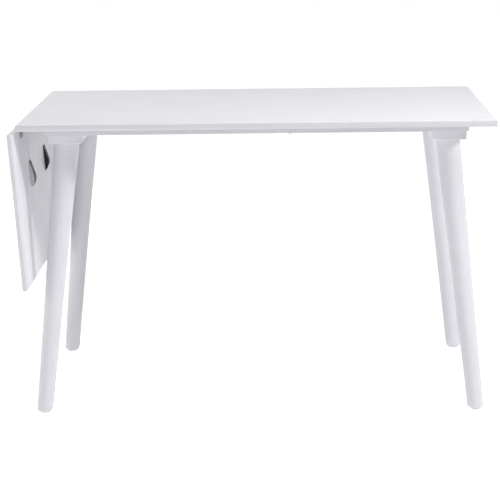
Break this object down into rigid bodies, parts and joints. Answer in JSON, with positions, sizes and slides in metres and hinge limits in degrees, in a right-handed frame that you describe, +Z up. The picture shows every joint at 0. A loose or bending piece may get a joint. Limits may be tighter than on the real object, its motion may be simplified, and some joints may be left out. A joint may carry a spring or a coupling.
{
  "type": "drop-leaf table",
  "caption": "Drop-leaf table with splayed round tapered legs, a bevelled top and a hinged end leaf that hangs down and is held level by sliding supports.",
  "frame": {"origin": "middle of the box under the table and its hanging leaf, on the floor", "axes": "+X along the table, away from the leaf; +Y from the front to the rear; +Z up"},
  "size_m": [1.2224, 0.8, 0.755],
  "materials": {
    "white_board": "satin white lacquer on board",
    "white_frame": "satin white lacquer on wood",
    "white_leg": "satin white lacquer on turned wood",
    "white_steel": "white powder coat",
    "dark_steel": "glossy dark coat",
    "hinge_steel": "nickel plate",
    "zinc_steel": "zinc plate",
    "glide_plastic": "moulded nylon"
  },
  "bodies": {
    "frame": {"table_top": "white_board", "front_rail": "white_frame", "rear_rail": "white_frame", "left_leg_bar": "white_frame", "right_leg_bar": "white_frame", "front_left_leg": "white_leg", "front_right_leg": "white_leg", "rear_left_leg": "white_leg", "rear_right_leg": "white_leg", "foot_glides": "glide_plastic", "leg_studs": "zinc_steel", "leg_nuts": "zinc_steel", "leg_bar_screws": "zinc_steel", "rail_round_screws": "zinc_steel", "front_hinge_top_plate": "hinge_steel", "front_hinge_pin": "hinge_steel", "rear_hinge_top_plate": "hinge_steel", "rear_hinge_pin": "hinge_steel", "hinge_top_screws": "zinc_steel", "front_keeper_plate": "white_steel", "rear_keeper_plate": "white_steel", "keeper_screws": "white_steel"},
    "leaf": {"drop_leaf": "white_board", "front_hinge_leaf_plate": "hinge_steel", "rear_hinge_leaf_plate": "hinge_steel", "hinge_leaf_screws": "zinc_steel", "cover_screws": "white_steel", "front_slide_cover": "white_steel", "rear_slide_cover": "white_steel"},
    "front_slide": {"front_support_bar": "zinc_steel", "front_slide_grip": "dark_steel", "front_grip_lug": "zinc_steel", "front_grip_rivets": "dark_steel"},
    "rear_slide": {"rear_support_bar": "zinc_steel", "rear_slide_grip": "dark_steel", "rear_grip_lug": "zinc_steel", "rear_grip_rivets": "dark_steel"}
  },
  "joints": [
    {"name": "leaf_hinge", "type": "hinge", "parent": "frame", "child": "leaf", "pos_m": [-0.58984, 0, 0.7335], "axis": [0, 1, 0], "range_deg": [-3, 93.84]},
    {"name": "front_slide", "type": "slide", "parent": "leaf", "child": "front_slide", "axis": [-0.067, 0, 0.9978], "range_m": [0, 0.068]},
    {"name": "rear_slide", "type": "slide", "parent": "leaf", "child": "rear_slide", "axis": [-0.067, 0, 0.9978], "range_m": [0, 0.068]}
  ]
}
